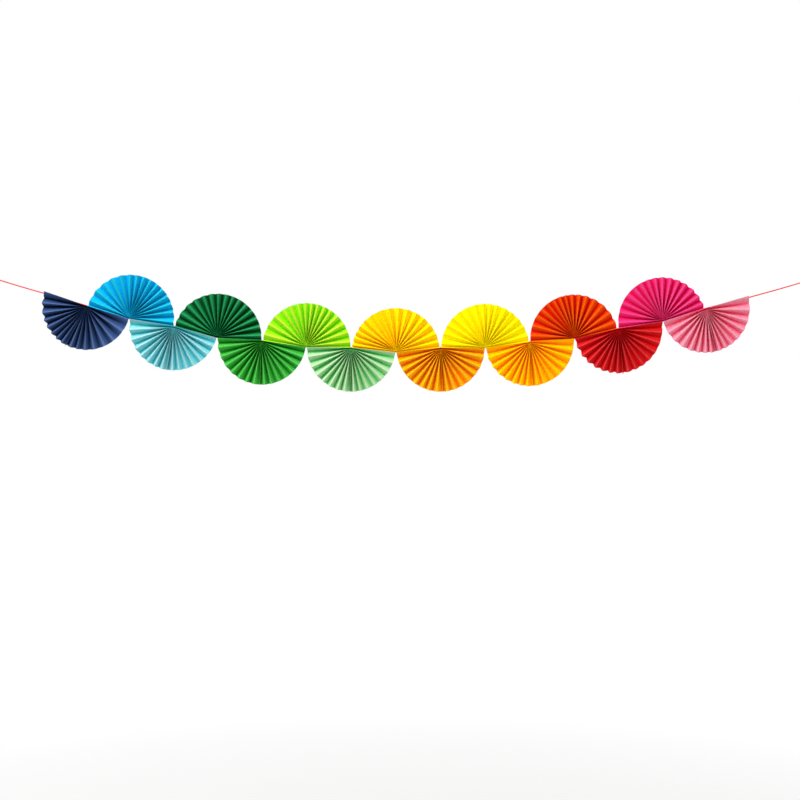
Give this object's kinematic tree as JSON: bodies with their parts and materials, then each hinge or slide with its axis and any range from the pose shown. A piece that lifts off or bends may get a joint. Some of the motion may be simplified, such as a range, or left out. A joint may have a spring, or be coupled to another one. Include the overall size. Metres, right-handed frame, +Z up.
{
  "type": "paper fan garland",
  "caption": "Garland of half-round pleated paper fans in rainbow colours, turned up and down in turn along a taut string with a loop at each end.",
  "frame": {"origin": "In the eye of the left loop, at the centre of its bow, where a nail or hook holds it.", "axes": "+X along the garland from the left loop to the right one, -Y towards the viewer, +Z up."},
  "size_m": [1.9278, 0.0258, 0.2738],
  "materials": {
    "navy_paper": "matt",
    "blue_paper": "matt",
    "aqua_paper": "matt",
    "dark_green_paper": "matt",
    "green_paper": "matt",
    "lime_paper": "matt",
    "mint_paper": "matt",
    "amber_paper": "matt",
    "ochre_paper": "matt",
    "yellow_paper": "matt",
    "golden_paper": "matt",
    "orange_paper": "matt",
    "red_paper": "matt",
    "magenta_paper": "matt",
    "pink_paper": "matt",
    "string": "twisted"
  },
  "bodies": {
    "root": {"fan_01_navy": "navy_paper", "fan_02_blue": "blue_paper", "fan_03_aqua": "aqua_paper", "fan_04_dark_green": "dark_green_paper", "fan_05_green": "green_paper", "fan_06_lime": "lime_paper", "fan_07_mint": "mint_paper", "fan_08_amber": "amber_paper", "fan_09_ochre": "ochre_paper", "fan_10_yellow": "yellow_paper", "fan_11_golden": "golden_paper", "fan_12_orange": "orange_paper", "fan_13_red": "red_paper", "fan_14_magenta": "magenta_paper", "fan_15_pink": "pink_paper", "string_left": "string", "string_middle": "string", "string_right": "string"}
  },
  "joints": []
}
